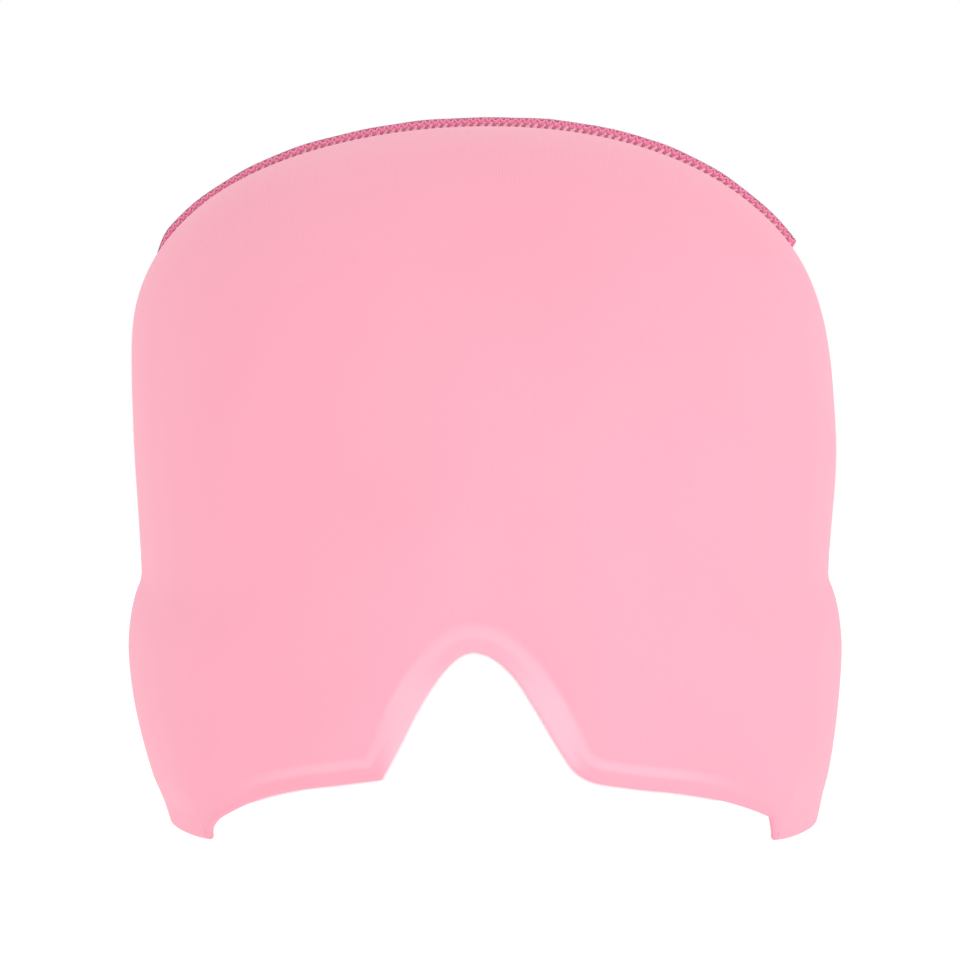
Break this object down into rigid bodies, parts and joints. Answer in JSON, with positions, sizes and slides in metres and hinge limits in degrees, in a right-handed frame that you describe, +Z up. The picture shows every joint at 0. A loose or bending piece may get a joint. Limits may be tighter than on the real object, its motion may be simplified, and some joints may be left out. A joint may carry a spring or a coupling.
{
  "type": "eye pillow cap",
  "caption": "Hood-shaped padded gel eye pillow that covers the eyes and the whole head, with a nose notch and an overlocked crown seam.",
  "frame": {"origin": "on the plane that the rim under the ears stands on, under the middle of the cap's box", "axes": "+Z up through the crown, the eye panel and its nose notch face -Y, +X is the wearer's left side"},
  "size_m": [0.1718, 0.2036, 0.1683],
  "materials": {
    "cover_cloth": "smooth fine-knit stretch cloth with a faint satin sheen",
    "lining_cloth": "paler soft stretch cloth, matt",
    "gel": "soft clear-tinted gel",
    "film": "thin clear glossy film",
    "crown_thread": "twisted polyester overlock thread, slightly lustrous",
    "needle_thread": "twisted polyester needle thread, darker pink",
    "hidden_thread": "fine polyester thread, matt"
  },
  "bodies": {
    "root": {"cover_front": "cover_cloth", "cover_back": "cover_cloth", "lining_front": "lining_cloth", "lining_back": "lining_cloth", "front_gel_core": "gel", "back_gel_core": "gel", "front_gel_outer_film": "film", "front_gel_inner_film": "film", "back_gel_outer_film": "film", "back_gel_inner_film": "film", "crown_upper_looper_thread": "crown_thread", "crown_lower_looper_thread": "crown_thread", "crown_needle_thread": "needle_thread", "left_side_seam_thread": "hidden_thread", "right_side_seam_thread": "hidden_thread", "front_rim_thread": "hidden_thread", "back_rim_thread": "hidden_thread"}
  },
  "joints": []
}
